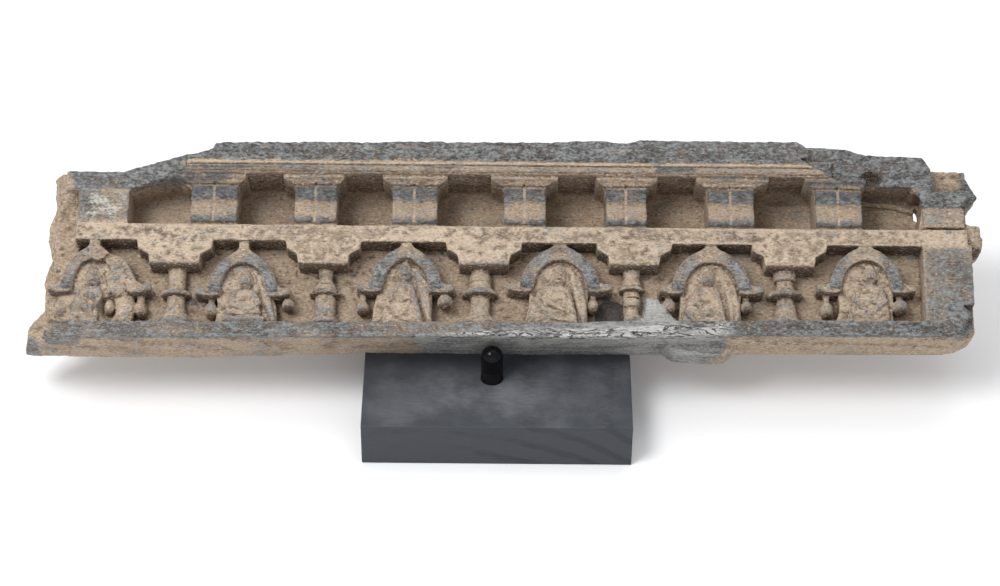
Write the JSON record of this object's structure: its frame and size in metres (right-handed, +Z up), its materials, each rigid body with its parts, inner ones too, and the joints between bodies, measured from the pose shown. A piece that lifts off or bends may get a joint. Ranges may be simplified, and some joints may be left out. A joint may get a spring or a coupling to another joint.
{
  "type": "stone relief panel",
  "caption": "Broken length of carved grey stone frieze, with an arcade of small figures under a bracketed cornice, leaning back on a low black wooden stand with pegs.",
  "frame": {"origin": "centre of the stand's underside", "axes": "+X along the panel to the viewer's right, +Y away from the viewer under the panel's raised edge, +Z up"},
  "size_m": [0.5408, 0.1588, 0.1207],
  "materials": {
    "schist": "carved grey schist with a tan earthy deposit, rough and worn",
    "black_wood": "matt black painted wood with dust on top",
    "black_peg": "black sleeved metal rod with a glossy domed end"
  },
  "bodies": {
    "root": {"relief_panel": "schist", "stand_base": "black_wood", "front_peg": "black_peg", "rear_post_left": "black_peg", "rear_post_right": "black_peg"}
  },
  "joints": []
}
